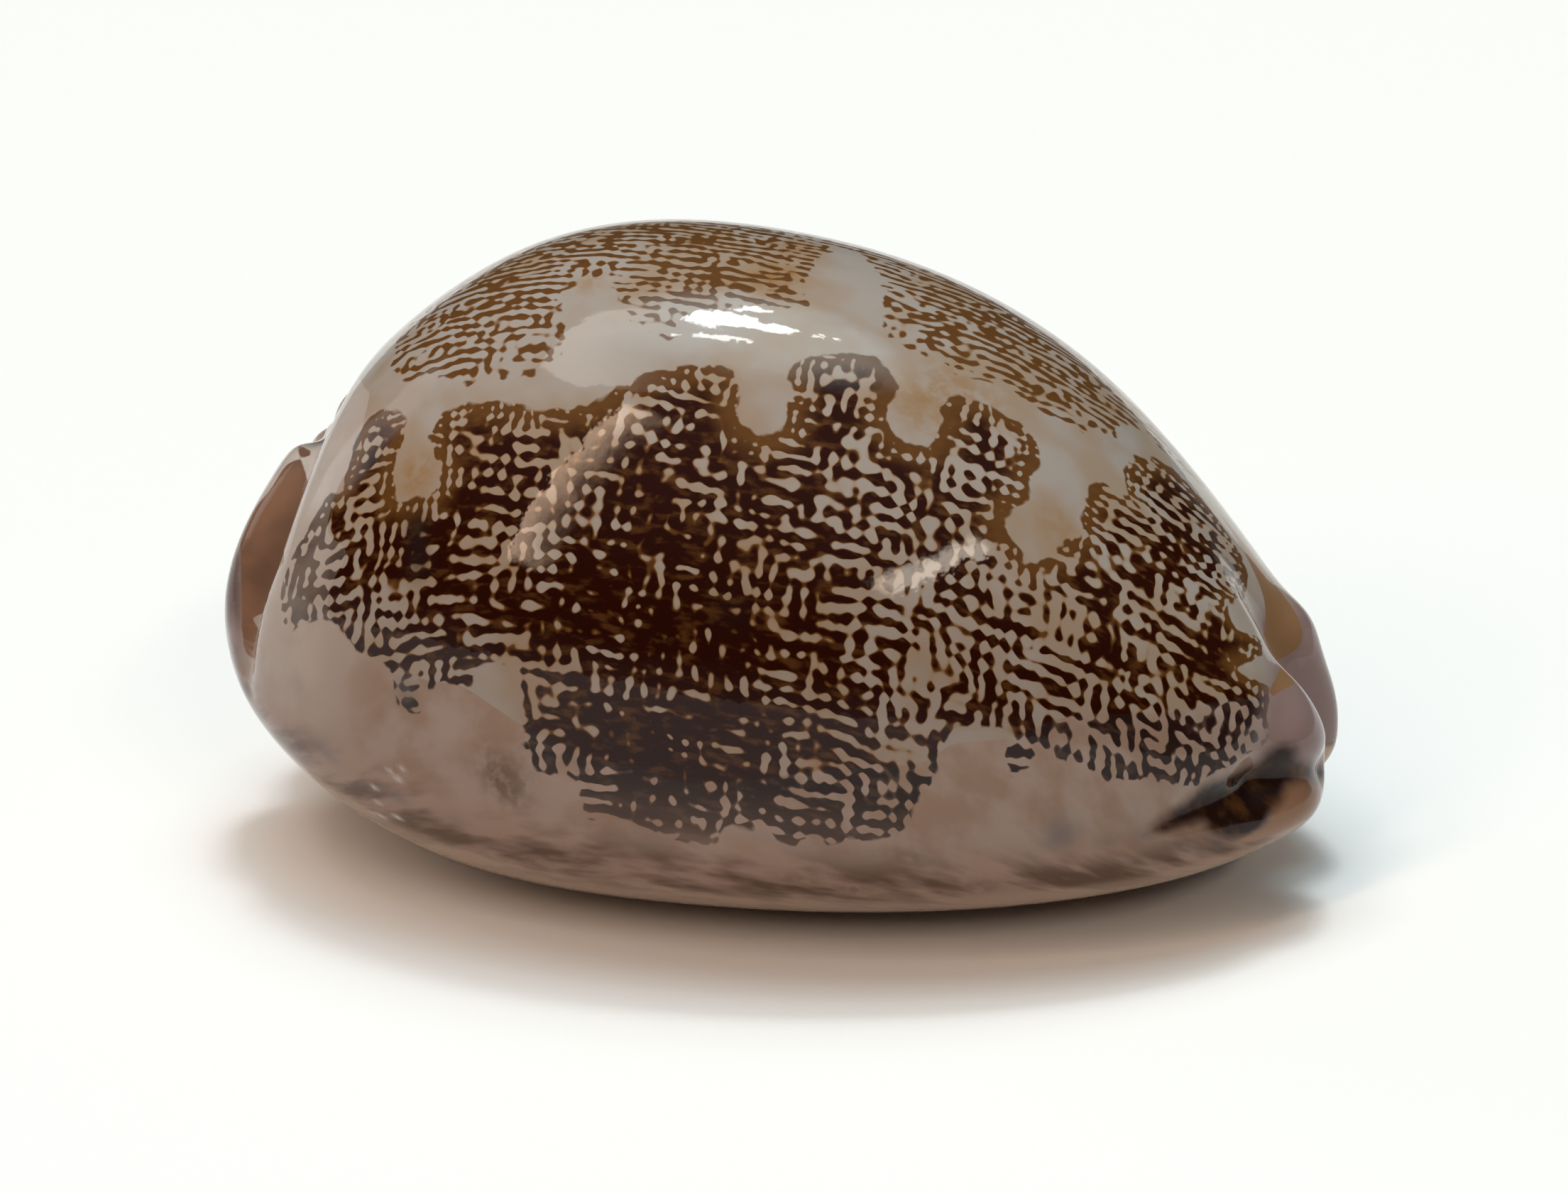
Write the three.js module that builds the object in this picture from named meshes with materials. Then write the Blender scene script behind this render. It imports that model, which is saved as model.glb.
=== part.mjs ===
// Map cowrie shell, adult, grown as one piece. Millimetres, +Z up.
// +X is the front (siphon) end, -X the spire end, -Y the side of the outer lip.
// The whole skin is one closed grid: rings cut across the length, each a loop that starts in the
// chamber, comes out over the inner lip, goes round the back and dives in again past the outer lip.
import * as THREE from 'three';

// Driving sizes
const LENGTH = 75;
const HALF = LENGTH / 2;
const END_BLUNTNESS = 0.86;          // under 1 makes the ends blunter than an ellipse's
const BACK_POWER = 2.15;             // 2 would be a round back
const LIP_SIDE_BASE_POWER = 2.4;     // higher is flatter underneath, with a squarer margin
const INNER_SIDE_BASE_POWER = 2.7;
const OUTER_ARC = 118;               // degrees from the top of the back to where the base begins
const REST_FLAT = 0.25;              // how much of the base is worn flat where it rests

// Section sizes at seven even steps of the girth angle, from the spire end to the front end
const AXIS_HEIGHT = [15, 14, 12, 10.5, 9.5, 9, 9];
const BACK_RISE = [12, 22.4, 30.2, 30.4, 27.4, 18.4, 12];
const BASE_DROP = [14.5, 13.8, 12.8, 10.5, 9.5, 9.3, 9];
const LIP_SIDE_REACH = [22, 24.8, 25, 24.5, 23.5, 22.5, 21.5];
const INNER_SIDE_REACH = [20, 23, 24, 24, 23.5, 21, 18];
const SLOT_LINE = [5, 1.5, -2, -3.5, -3.5, -2, 0.5];
const SLOT_HALF_WIDTH = [1.5, 1.5, 1.6, 1.8, 2.1, 2.9, 3];

// Slot, lips and chamber
const OUTER_LIP_ROLL = 2.2;
const INNER_LIP_ROLL = 2.8;
const THROAT_DEPTH = 2.2;
const CANAL_DEPTH = 2.5;
const BACK_WALL = 2.5;
const SIDE_WALL = 3;
const CHAMBER_SPIRE_END = { closed: -33, full: -20 };
const CHAMBER_FRONT_END = { closed: 34, full: 25 };
const SMALL_SECTION = 9;             // below about this half width, lips and canal shrink with it

// Teeth along both lips
const TEETH = 34;
const TEETH_FROM = -31;
const TEETH_TO = 31;
const TOOTH_HEIGHT = 0.55;
const TEETH_FADE = 4;

// Notches that the two canals leave in the ends: sign of the end, start, depth, half width
const NOTCHES = [
  { end: -1, start: 27, depth: 2.6, halfWidth: 2.6 },
  { end: 1, start: 28, depth: 2.8, halfWidth: 2.4 },
];

// Grid
const END_RINGS = 9;
const ARC_ROWS = 25;
const BASE_ROWS = 3;
const LIP_ROWS = 4;
const THROAT_ROWS = 1;
const CHAMBER_ROWS = 7;

const radians = THREE.MathUtils.degToRad;

// Smooth curve through evenly spaced values, t from 0 to 1
function through(values, t) {
  const last = values.length - 1;
  const place = Math.min(Math.max(t, 0), 1) * last;
  const i = Math.min(Math.floor(place), last - 1);
  const f = place - i;
  const b = values[i];
  const c = values[i + 1];
  const a = i > 0 ? values[i - 1] : 2 * b - c;
  const d = i < last - 1 ? values[i + 2] : 2 * c - b;
  const slope = c - a;
  const bend = 2 * a - 5 * b + 4 * c - d;
  const twist = 3 * b - a - 3 * c + d;
  return 0.5 * (2 * b + slope * f + bend * f * f + twist * f * f * f);
}

function ease(from, to, x) {
  const f = Math.min(Math.max((x - from) / (to - from), 0), 1);
  return f * f * (3 - 2 * f);
}

// Close to x where x is well above 0, and never below 0
function softFloor(x) {
  return x > 30 ? x : Math.log1p(Math.exp(x));
}

// All measures of the cross section at a girth angle, 0 at the spire end and 180 at the front end
function sectionAt(theta) {
  const t = theta / 180;
  const swell = Math.sin(radians(theta)) ** END_BLUNTNESS;
  const nearReach = swell * through(LIP_SIDE_REACH, t);
  const farReach = swell * through(INNER_SIDE_REACH, t);
  const room = 1 - Math.exp(-Math.min(nearReach, farReach) / SMALL_SECTION);
  const x = -HALF * Math.cos(radians(theta));
  return {
    x,
    room,
    nearReach,
    farReach,
    axis: through(AXIS_HEIGHT, t),
    rise: swell * through(BACK_RISE, t),
    drop: swell * through(BASE_DROP, t),
    slot: room * through(SLOT_LINE, t),
    slotHalf: room * through(SLOT_HALF_WIDTH, t),
    chamber: ease(CHAMBER_SPIRE_END.closed, CHAMBER_SPIRE_END.full, x)
      * ease(CHAMBER_FRONT_END.closed, CHAMBER_FRONT_END.full, x),
  };
}

// Point of the outside at a round angle: 0 on top of the back, 90 at the outer lip's side.
// The upper half is a superellipse about the middle, the lower half one about the slot.
function outerPoint(section, phi) {
  const up = Math.cos(radians(phi));
  const out = Math.sin(radians(phi));
  const basePower = out >= 0 ? LIP_SIDE_BASE_POWER : INNER_SIDE_BASE_POWER;
  const power = 2 / (up >= 0 ? BACK_POWER : basePower);
  const middle = up >= 0 ? 0 : section.slot;
  const reach = out >= 0 ? -section.nearReach - middle : section.farReach - middle;
  const rise = up >= 0 ? section.rise : -section.drop;
  return {
    y: middle + reach * Math.abs(out) ** power,
    z: section.axis + rise * Math.abs(up) ** power,
    zone: -2,
  };
}

function baseHeight(section, y) {
  const outerSide = y < section.slot;
  const reach = outerSide ? section.nearReach + section.slot : section.farReach - section.slot;
  const power = outerSide ? LIP_SIDE_BASE_POWER : INNER_SIDE_BASE_POWER;
  const part = Math.min(Math.abs(y - section.slot) / reach, 1);
  return section.axis - section.drop * (1 - part ** power) ** (1 / power);
}

// Points from the base's edge into the chamber, on the outer lip's side (-1) or the inner lip's (1).
// zone: -1 to 0 is the base, 0 to 1 the lip, 1 to 2 the throat, 3 to 4 the chamber.
function inwardPoints(section, side) {
  const roll = section.room * (side < 0 ? OUTER_LIP_ROLL : INNER_LIP_ROLL);
  const start = outerPoint(section, -side * OUTER_ARC);
  const edge = section.slot + side * (section.slotHalf + roll);
  const lipBase = baseHeight(section, edge);
  const throatTop = lipBase + roll + THROAT_DEPTH * section.room;
  const canal = CANAL_DEPTH * section.room;
  const fullDepth = softFloor(section.axis + section.rise - BACK_WALL - throatTop);
  const depth = canal + (fullDepth - canal) * section.chamber;
  const reach = side < 0 ? section.nearReach : section.farReach;
  const free = softFloor(reach - SIDE_WALL - side * section.slot - section.slotHalf);
  const points = [];
  for (let i = 1; i <= BASE_ROWS; i += 1) {
    const f = i / BASE_ROWS;
    const y = start.y + (edge - start.y) * f;
    points.push({ y, z: baseHeight(section, y), zone: f - 1 });
  }
  for (let i = 1; i <= LIP_ROWS; i += 1) {
    const turn = (i / LIP_ROWS) * (Math.PI / 2);
    points.push({
      y: section.slot + side * (section.slotHalf + roll * (1 - Math.sin(turn))),
      z: lipBase + roll * (1 - Math.cos(turn)),
      zone: i / LIP_ROWS,
    });
  }
  for (let i = 1; i <= THROAT_ROWS; i += 1) {
    const f = i / THROAT_ROWS;
    const z = lipBase + roll + THROAT_DEPTH * section.room * f;
    points.push({ y: section.slot + side * section.slotHalf, z, zone: 1 + f });
  }
  for (let i = 1; i <= CHAMBER_ROWS; i += 1) {
    const f = i / CHAMBER_ROWS;
    const fullness = side < 0 ? 0.65 + 0.75 * f : 0.95 + 0.4 * f;
    const swell = free * section.chamber * Math.abs(Math.sin(Math.PI * f)) ** fullness;
    points.push({
      y: section.slot + side * (section.slotHalf * (1 - f) + swell),
      z: throatTop + (depth * (1 - Math.cos(Math.PI * f))) / 2,
      zone: 3 + f,
    });
  }
  return points;
}

// One closed ring of points: chamber, inner lip, back from side to side, outer lip, chamber
function ringAt(theta) {
  const section = sectionAt(theta);
  const arc = [];
  for (let i = 0; i < ARC_ROWS; i += 1) {
    arc.push(outerPoint(section, -OUTER_ARC + (2 * OUTER_ARC * i) / (ARC_ROWS - 1)));
  }
  const inner = inwardPoints(section, 1).reverse();
  const outer = inwardPoints(section, -1).slice(0, -1);
  return [...inner, ...arc, ...outer].map(({ y, z, zone }) => ({
    place: notched(new THREE.Vector3(section.x, y, z), section.slot),
    zone,
  }));
}

// What lies near the slot's line at an end is drawn inwards, where the canal opens
function notched(place, slot) {
  for (const { end, start, depth, halfWidth } of NOTCHES) {
    const away = (place.y - slot) / halfWidth;
    place.x -= end * depth * Math.exp(-away * away) * ease(start, HALF, end * place.x);
  }
  return place;
}

// A line on the outside through points given as girth angle and round angle, in degrees
function lineOnShell(corners) {
  const steps = 80;
  const girths = corners.map((corner) => corner[0]);
  const rounds = corners.map((corner) => corner[1]);
  return Array.from({ length: steps + 1 }, (_, i) => {
    const t = i / steps;
    const section = sectionAt(through(girths, t));
    const { y, z } = outerPoint(section, through(rounds, t));
    return { t, place: new THREE.Vector3(section.x, y, z) };
  });
}

// Grooves and ridges: heights (below 0 is a groove) and half widths change along each line
const RELIEF = [
  {
    // hollow between the body's shoulder and the spire's callus
    line: [[28, 96], [27.5, 82], [28, 66], [30.5, 50], [34, 30], [36.5, 8], [36, -30], [32, -65], [28, -100]],
    height: [-0.2, -1, -1.8, -2.2, -1.8, -1.2, -1.3, -1.2, -0.2],
    width: [1.2, 1.6, 2.1, 2.5, 2.6, 2.6, 3, 2.8, 2.2],
  },
  {
    // rim of the spire's callus
    line: [[18, 100], [20, 70], [24, 40], [27, 10], [26, -25], [21, -60], [18, -95]],
    height: [0, 0.3, 0.5, 0.5, 0.4, 0.3, 0],
    width: [2.5, 2.5, 3, 3, 3, 3, 2.5],
  },
  {
    // short crevice under the spire's knob
    line: [[30, -26], [29.5, -12], [30.5, 2], [34, 14]],
    height: [-0.2, -1.1, -1.1, -0.3],
    width: [0.9, 0.9, 0.9, 0.9],
  },
  {
    // crease above the margin, deepening into the pit at the front end
    line: [[104, 94], [124, 92], [138, 88], [148, 84], [153, 81], [158, 80], [163, 80], [170, 84]],
    height: [0, -0.25, -0.6, -1, -1.5, -1.3, -1.1, -1],
    width: [2.4, 1.8, 1.6, 1.6, 1.8, 1.6, 1.5, 1.5],
  },
  {
    // shallow hollow behind the front collar
    line: [[153, 82], [154.5, 60], [155, 38], [154, 10], [153, -19], [152, -55], [148, -95]],
    height: [-0.2, -0.5, -0.5, -0.3, -0.2, -0.4, -0.2],
    width: [1.4, 1.8, 2, 2, 2, 2.4, 2.4],
  },
];

// Round swellings and dents: girth angle, round angle, height, half width
const KNOBS = [
  { girth: 35, round: -9, height: 1, width: 2 },
  { girth: 22, round: 12, height: -0.6, width: 4 },
  { girth: 155, round: -26, height: 0.7, width: 2.4 },
  { girth: 164, round: 92, height: 0.6, width: 3.2 },
  { girth: 160, round: 50, height: 0.4, width: 3.5 },
];

function reliefMaker() {
  const lines = RELIEF.map(({ line, height, width }) => ({ points: lineOnShell(line), height, width }));
  const knobs = KNOBS.map((knob) => {
    const section = sectionAt(knob.girth);
    const { y, z } = outerPoint(section, knob.round);
    return { ...knob, centre: new THREE.Vector3(section.x, y, z) };
  });
  return (place) => {
    let total = 0;
    for (const { points, height, width } of lines) {
      const nearest = points.reduce((best, point) => {
        const away = point.place.distanceToSquared(place);
        return away < best.away ? { away, t: point.t } : best;
      }, { away: Infinity, t: 0 });
      total += through(height, nearest.t) * Math.exp(-nearest.away / through(width, nearest.t) ** 2);
    }
    for (const { centre, height, width } of knobs) {
      total += height * Math.exp(-centre.distanceToSquared(place) / width ** 2);
    }
    return total;
  };
}

function toothHeight({ place, zone }) {
  const phase = ((place.x - TEETH_FROM) / (TEETH_TO - TEETH_FROM)) * TEETH;
  const wave = 0.5 - 0.5 * Math.cos(2 * Math.PI * phase);
  const along = ease(TEETH_FROM - 1, TEETH_FROM + TEETH_FADE, place.x)
    * ease(TEETH_TO + 1, TEETH_TO - TEETH_FADE, place.x);
  const across = ease(-0.42, -0.05, zone) * ease(2, 1.3, zone);
  return TOOTH_HEIGHT * wave * along * across;
}

// Girth angles of the rings: one on every tooth and every gap, and even steps beyond them
function ringAngles() {
  const angleOf = (x) => THREE.MathUtils.radToDeg(Math.acos(-x / HALF));
  const first = angleOf(TEETH_FROM);
  const last = angleOf(TEETH_TO);
  const angles = [];
  for (let i = 1; i <= END_RINGS; i += 1) {
    angles.push((first * i) / (END_RINGS + 1));
  }
  for (let i = 0; i <= 2 * TEETH; i += 1) {
    angles.push(angleOf(TEETH_FROM + ((TEETH_TO - TEETH_FROM) * i) / (2 * TEETH)));
  }
  for (let i = 1; i <= END_RINGS; i += 1) {
    angles.push(last + ((180 - last) * i) / (END_RINGS + 1));
  }
  return angles;
}

// Outward directions of a grid whose rows close on themselves
function outwardDirections(rings) {
  return rings.map((ring, i) => ring.map((point, j) => {
    const before = rings[Math.max(i - 1, 0)][j].place;
    const after = rings[Math.min(i + 1, rings.length - 1)][j].place;
    const previous = ring[(j + ring.length - 1) % ring.length].place;
    const next = ring[(j + 1) % ring.length].place;
    const along = after.clone().sub(before);
    const around = next.clone().sub(previous);
    return around.cross(along).normalize();
  }));
}

function moveOutwards(rings, heightAt) {
  const outwards = outwardDirections(rings);
  rings.forEach((ring, i) => ring.forEach((point, j) => {
    point.place.addScaledVector(outwards[i][j], heightAt(point));
  }));
}

function shellGeometry() {
  const rings = ringAngles().map(ringAt);
  const reliefAt = reliefMaker();
  moveOutwards(rings, (point) => (point.zone <= 0 ? reliefAt(point.place) : 0));
  moveOutwards(rings, toothHeight);
  const poles = [0, 180].map((theta) => {
    const section = sectionAt(theta);
    return notched(new THREE.Vector3(section.x, 0, section.axis), 0);
  });
  const places = [...rings.flat().map((point) => point.place), ...poles];
  for (const place of places) {
    place.z = Math.max(place.z - REST_FLAT, 0);
  }
  const rows = rings[0].length;
  const lastRing = rings.length - 1;
  const spirePole = rings.length * rows;
  const frontPole = spirePole + 1;
  const faces = [];
  for (let j = 0; j < rows; j += 1) {
    const k = (j + 1) % rows;
    faces.push(spirePole, k, j);
    for (let i = 0; i < lastRing; i += 1) {
      const here = i * rows;
      const there = here + rows;
      faces.push(here + j, here + k, there + j);
      faces.push(here + k, there + k, there + j);
    }
    faces.push(frontPole, lastRing * rows + j, lastRing * rows + k);
  }
  const geometry = new THREE.BufferGeometry();
  const numbers = places.flatMap((place) => place.toArray());
  geometry.setAttribute('position', new THREE.Float32BufferAttribute(numbers, 3));
  geometry.setIndex(faces);
  return geometry;
}

// Centres the part on its own box, so its origin is the middle of the box's floor
function centred(geometry) {
  geometry.computeBoundingBox();
  const middle = geometry.boundingBox.getCenter(new THREE.Vector3());
  geometry.translate(-middle.x, -middle.y, 0);
  geometry.computeVertexNormals();
  return geometry;
}

// Polished enamel of the shell, in the mean colour of its pattern and ground
function enamel() {
  const material = new THREE.MeshStandardMaterial({ color: '#8a6f5c', roughness: 0.22, metalness: 0 });
  material.name = 'enamel';
  return material;
}

const shell = new THREE.Mesh(centred(shellGeometry()), enamel());
shell.name = 'shell';

const part = new THREE.Group();
part.name = 'map_cowrie_shell';
part.add(shell);

export default part;
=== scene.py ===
"""Map cowrie shell: looks for the one grown piece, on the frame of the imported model.

The shell's skin is one closed surface of two parameters: the girth angle, from the spire end to
the front end, and a row number that runs round each cross section, out of the chamber over the
inner lip, round the back, and in again past the outer lip. Lengths are in millimetres until the
mesh is made. +X is the front end, -Y the outer lip's side, +Z up.
"""

import math
from types import SimpleNamespace

import bpy
import numpy as np
from bpy.props import FloatProperty, FloatVectorProperty, IntProperty, PointerProperty
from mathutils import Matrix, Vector


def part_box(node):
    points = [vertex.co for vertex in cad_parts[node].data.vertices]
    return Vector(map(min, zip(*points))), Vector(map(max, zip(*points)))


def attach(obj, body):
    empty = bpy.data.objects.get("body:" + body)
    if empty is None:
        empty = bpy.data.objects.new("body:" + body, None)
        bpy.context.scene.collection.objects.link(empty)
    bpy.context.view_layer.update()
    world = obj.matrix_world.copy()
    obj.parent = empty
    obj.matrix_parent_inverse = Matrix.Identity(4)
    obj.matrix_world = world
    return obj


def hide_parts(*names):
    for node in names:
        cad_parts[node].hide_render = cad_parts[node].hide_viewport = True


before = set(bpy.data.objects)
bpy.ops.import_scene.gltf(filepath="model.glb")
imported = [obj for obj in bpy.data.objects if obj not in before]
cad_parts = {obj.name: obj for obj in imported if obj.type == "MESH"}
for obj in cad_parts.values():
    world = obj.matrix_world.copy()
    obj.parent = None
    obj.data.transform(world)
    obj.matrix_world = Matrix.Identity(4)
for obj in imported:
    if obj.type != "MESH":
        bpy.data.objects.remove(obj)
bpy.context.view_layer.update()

bl_info = {
    "name": "Map Cowrie Shell",
    "version": (1, 0, 0),
    "blender": (4, 5, 0),
    "location": "View3D > Sidebar > Shell",
    "description": "Builds a map cowrie shell with its pattern, a pale stage and a camera",
    "category": "Add Mesh",
}

MM = 0.001
PHOTO_WIDTH = 2209
PHOTO_HEIGHT = 1680

# Shape of the shell, the same sizes as the solid's
LENGTH = 75.0
HALF = LENGTH / 2
END_BLUNTNESS = 0.86
BACK_POWER = 2.15
LIP_SIDE_BASE_POWER = 2.4
INNER_SIDE_BASE_POWER = 2.7
OUTER_ARC = math.radians(118)
REST_FLAT = 0.25

# Section sizes at seven even steps of the girth angle
AXIS_HEIGHT = (15, 14, 12, 10.5, 9.5, 9, 9)
BACK_RISE = (12, 22.4, 30.2, 30.4, 27.4, 18.4, 12)
BASE_DROP = (14.5, 13.8, 12.8, 10.5, 9.5, 9.3, 9)
LIP_SIDE_REACH = (22, 24.8, 25, 24.5, 23.5, 22.5, 21.5)
INNER_SIDE_REACH = (20, 23, 24, 24, 23.5, 21, 18)
SLOT_LINE = (5, 1.5, -2, -3.5, -3.5, -2, 0.5)
SLOT_HALF_WIDTH = (1.5, 1.5, 1.6, 1.8, 2.1, 2.9, 3)

# Slot, lips and chamber
OUTER_LIP_ROLL = 2.2
INNER_LIP_ROLL = 2.8
THROAT_DEPTH = 2.2
CANAL_DEPTH = 2.5
BACK_WALL = 2.5
SIDE_WALL = 3.0
CHAMBER_SPIRE_END = (-33, -20)
CHAMBER_FRONT_END = (34, 25)
SMALL_SECTION = 9.0

# Power of the chamber wall's swell at its bottom and its growth to the top, by side: -1 is outer
CHAMBER_SWELL = {-1: (0.65, 0.75), 1: (0.95, 0.4)}

# Teeth
TEETH = 34
TEETH_FROM = -31.0
TEETH_TO = 31.0
TOOTH_HEIGHT = 0.55
TEETH_FADE = 4.0
TEETH_BASE_ZONES = (-0.42, -0.05)
TEETH_THROAT_ZONES = (2, 1.3)

# Notches at the ends: sign of the end, start, depth, half width
NOTCHES = ((-1, 27, 2.6, 2.6), (1, 28, 2.8, 2.4))

# Grooves and ridges: (girth, round) angles of the line, heights and half widths along it
RELIEF = (
    # hollow between the body's shoulder and the spire's callus
    (((28, 96), (27.5, 82), (28, 66), (30.5, 50), (34, 30), (36.5, 8), (36, -30), (32, -65), (28, -100)),
     (-0.2, -1, -1.8, -2.2, -1.8, -1.2, -1.3, -1.2, -0.2),
     (1.2, 1.6, 2.1, 2.5, 2.6, 2.6, 3, 2.8, 2.2)),
    # rim of the spire's callus
    (((18, 100), (20, 70), (24, 40), (27, 10), (26, -25), (21, -60), (18, -95)),
     (0, 0.3, 0.5, 0.5, 0.4, 0.3, 0),
     (2.5, 2.5, 3, 3, 3, 3, 2.5)),
    # short crevice under the spire's knob
    (((30, -26), (29.5, -12), (30.5, 2), (34, 14)),
     (-0.2, -1.1, -1.1, -0.3),
     (0.9, 0.9, 0.9, 0.9)),
    # crease above the margin, deepening into the pit at the front end
    (((104, 94), (124, 92), (138, 88), (148, 84), (153, 81), (158, 80), (163, 80), (170, 84)),
     (0, -0.25, -0.6, -1, -1.5, -1.3, -1.1, -1),
     (2.4, 1.8, 1.6, 1.6, 1.8, 1.6, 1.5, 1.5)),
    # shallow hollow behind the front collar
    (((153, 82), (154.5, 60), (155, 38), (154, 10), (153, -19), (152, -55), (148, -95)),
     (-0.2, -0.5, -0.5, -0.3, -0.2, -0.4, -0.2),
     (1.4, 1.8, 2, 2, 2, 2.4, 2.4)),
)

# Round swellings and dents: girth, round, height, half width
KNOBS = (
    (35, -9, 1.0, 2.0), (22, 12, -0.6, 4), (155, -26, 0.7, 2.4), (164, 92, 0.6, 3.2),
    (160, 50, 0.4, 3.5),
)

# Rows round a section, from the chamber out and back in
CHAMBER_ROWS = 12
THROAT_ROWS = 2
LIP_ROWS = 9
BASE_ROWS = 18
FAR_ROWS = 68
NEAR_ROWS = 150
NEAR_ROWS_FROM = math.radians(-20)

# How far the rings crowd together at mid length, and the steps along a line and along a strip
RING_CROWDING = 0.3
LINE_STEPS = 81
STRIP_STEPS = 61

# Row along which lengths are measured, in the middle of the side that the camera sees
MIDDLE_ROW_ROUND = math.radians(55)

# Tracing of pixels: least cosine to the camera of a visible point, points weighed, depth in mm
FACING = 0.02
TRACED_POINTS = 20
TRACED_DEPTH = 1.5

# Banks of stripes in the two fields: squeeze, direction, weight, evenness, place
LOWER_BANKS = ((0.7, math.pi / 2, 0.52, 0.85, 0.0), (1.0, 0.0, 0.46, 0.85, 40.0))
UPPER_BANKS = ((0.46, math.pi / 2, 0.62, 0.8, 0.0), (0.9, 0.0, 0.34, 0.7, 40.0))
LOWER_FINENESS = 2.4
UPPER_FINENESS = 2.9
STRIPE_SCALE = 0.4
LINE_BLOTCH_WEIGHT = 0.36

# How far noise scallops the fields' edges, in millimetres of the chart
LOWER_SCALLOPING = 1.0
UPPER_SCALLOPING = 1.6

# Millimetres inside an outline where a change starts and is full
FIELD_EDGE = (-0.05, 0.15)
CALLUS_SOFTNESS = (-0.03, 0.06)
FRINGE = (2.4, 0.3)
FIELD_RIM = (0.9, 0.4)
BROWN_EDGE = (2.4, 0.5)
BLURRED_EDGE = (3.5, 0.3)
UPPER_DEEPENING = (0.0, 7.0)
TONGUE_EDGE = (-0.05, 0.05)
PLATE_EDGE = (-0.08, 0.08)
LOBE_EDGE = (-0.6, 0.8)
STAIN_EDGE = (-1.3, 0.7)

# Noises of the enamel: scale in a millimetre, detail, and roughness where it isn't a half
CLOUD = (0.12, 3.0)
BLOTCH = (0.22, 2.0)
MURK = (0.3, 3.0)
MOTTLE = (1.2, 3.0)
SCALLOPS = (0.9, 1.0)
PATCHES = (0.24, 1.5)
STREAKS = (1.3, 3.0)
LINE_BLOTCHES = (0.9, 0.0)
LONG_BLOTS = (0.34, 3.0, 0.6)
BROWNING = (0.5, 3.0)
UNEVENNESS = (0.5, 3.0)

# Where the enamel's colours start and are full, in degrees round
HIGH_SIDE_ROUND = (72, 50)
# Painted shade: the sides darken as they turn down, to stand for less light reaching them
PAINTED_SIDE_SHADE_ROUND = (40, 92)
BLOTS_ROUND = (84, 108)
MARGIN_ROUND = (84, 104)
FLESH_ROUND = (112, 128)
RIM_ROUND = (120, 105)
FROST_ROUND = (-10, 20)

# The same in degrees of girth, and in zones for the chamber
FROST_GIRTH = (56, 42)
SPIRE_RIM_GIRTH = (27, 22)
FRONT_RIM_GIRTH = (150, 156)
PALER_GIRTH = (100, 150)
CHAMBER_ZONES = (1.0, 2.5)

# Coat of the enamel
COAT_IOR = 1.31
COAT_ROUGHNESS = 0.03

# Floor and camera
FLOOR_GREY = 0.86
FLOOR_ROUGHNESS = 0.7
FLOOR_REACH = 3.0
SENSOR_MM = 36.0
CLIP_START = 0.01

# Chart of the outside, for outlines: millimetres for a radian of each angle
GIRTH_MM = 37.5
ROUND_MM = 24.0
BASE_ROUND = math.radians(32)

# Outlines of the markings, in pixels of the photograph
LOWER_FIELD = (
    (480, 690), (497, 640), (510, 603), (530, 580), (555, 577), (571, 595), (567, 625), (556, 655),
    (555, 690), (563, 705), (590, 700), (612, 690), (622, 670), (612, 640), (605, 620), (615, 595),
    (640, 573), (680, 565), (725, 565), (745, 575), (800, 573), (845, 563), (870, 545), (910, 528),
    (950, 518), (1000, 514), (1035, 524), (1047, 545), (1038, 565), (1042, 590), (1065, 606),
    (1100, 606), (1108, 590), (1105, 570), (1115, 555), (1110, 530), (1122, 510), (1150, 499),
    (1200, 497), (1235, 507), (1258, 530), (1268, 552), (1252, 575), (1252, 600), (1275, 622),
    (1310, 625), (1322, 603), (1327, 585), (1322, 570), (1345, 558), (1385, 565), (1415, 583),
    (1440, 598), (1460, 622), (1466, 648), (1452, 680), (1448, 705), (1425, 722), (1412, 745),
    (1440, 772), (1440, 792), (1465, 792), (1490, 772), (1520, 755), (1527, 722), (1530, 700),
    (1550, 675), (1570, 690), (1592, 697), (1583, 665), (1600, 643), (1640, 650), (1668, 675),
    (1700, 712), (1735, 758), (1757, 808), (1757, 842), (1732, 850), (1742, 885), (1775, 900),
    (1775, 925), (1745, 940), (1760, 955), (1785, 968), (1787, 1010), (1785, 1045), (1750, 1068),
    (1700, 1095), (1680, 1108), (1620, 1098), (1570, 1100), (1530, 1083), (1470, 1060), (1450, 1080),
    (1425, 1095), (1415, 1060), (1420, 1032), (1370, 1025), (1345, 1022), (1333, 1048), (1318, 1062),
    (1320, 1082), (1308, 1110), (1290, 1130), (1280, 1163), (1240, 1184), (1200, 1178), (1165, 1190),
    (1150, 1180), (1110, 1190), (1085, 1173), (1050, 1165), (1020, 1170), (1003, 1190), (965, 1188),
    (930, 1178), (895, 1160), (860, 1152), (825, 1158), (820, 1110), (800, 1092), (770, 1090),
    (750, 1083), (748, 1052), (738, 1045), (737, 985), (728, 945), (715, 932), (680, 935), (665, 962),
    (650, 970), (620, 962), (595, 982), (588, 1004), (560, 988), (545, 940), (510, 922), (487, 893),
    (470, 875), (440, 873), (408, 890), (395, 862), (405, 800), (430, 750), (460, 700),
)
UPPER_FIELD_EDGE = (
    (556, 490), (560, 535), (600, 527), (650, 540), (700, 530), (745, 525), (785, 505), (795, 455),
    (787, 425), (800, 405), (850, 395), (880, 430), (905, 462), (945, 480), (960, 452), (1000, 440),
    (1060, 432), (1135, 432), (1135, 400), (1150, 365), (1205, 352), (1235, 385), (1250, 405),
    (1240, 435), (1245, 460), (1265, 482), (1300, 505), (1350, 525), (1400, 540), (1450, 565),
    (1480, 587), (1510, 602), (1560, 616), (1597, 600),
)
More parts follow.
